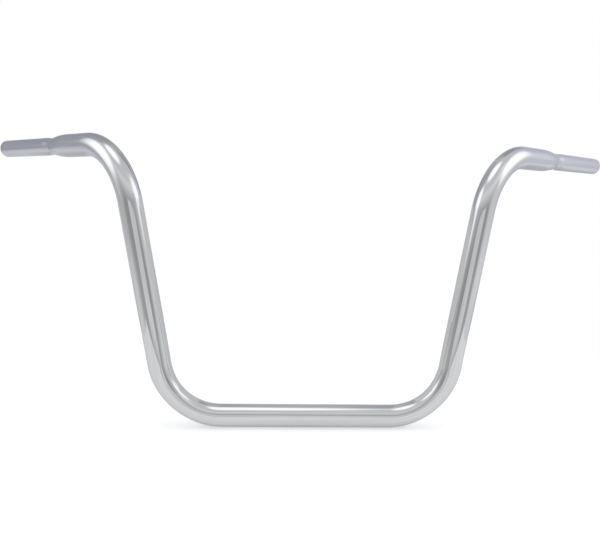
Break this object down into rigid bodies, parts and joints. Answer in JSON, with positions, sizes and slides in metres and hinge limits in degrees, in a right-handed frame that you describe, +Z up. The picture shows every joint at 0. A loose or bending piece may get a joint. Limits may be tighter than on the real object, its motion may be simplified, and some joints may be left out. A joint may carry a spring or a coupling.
{
  "type": "motorcycle handlebar",
  "caption": "Tall one-piece motorcycle handlebar of bent round tube with splayed risers, level pulled-back grips and swaged, thinner grip ends, in bright chrome.",
  "frame": {"origin": "middle of the clamp straight, on the tube's axis", "axes": "+X along the clamp straight, +Y the way the grips are pulled back, +Z up between the risers"},
  "size_m": [0.968, 0.2467, 0.3947],
  "materials": {
    "chrome": "polished bright chrome plate on steel"
  },
  "bodies": {
    "root": {"handlebar_tube": "chrome"}
  },
  "joints": []
}
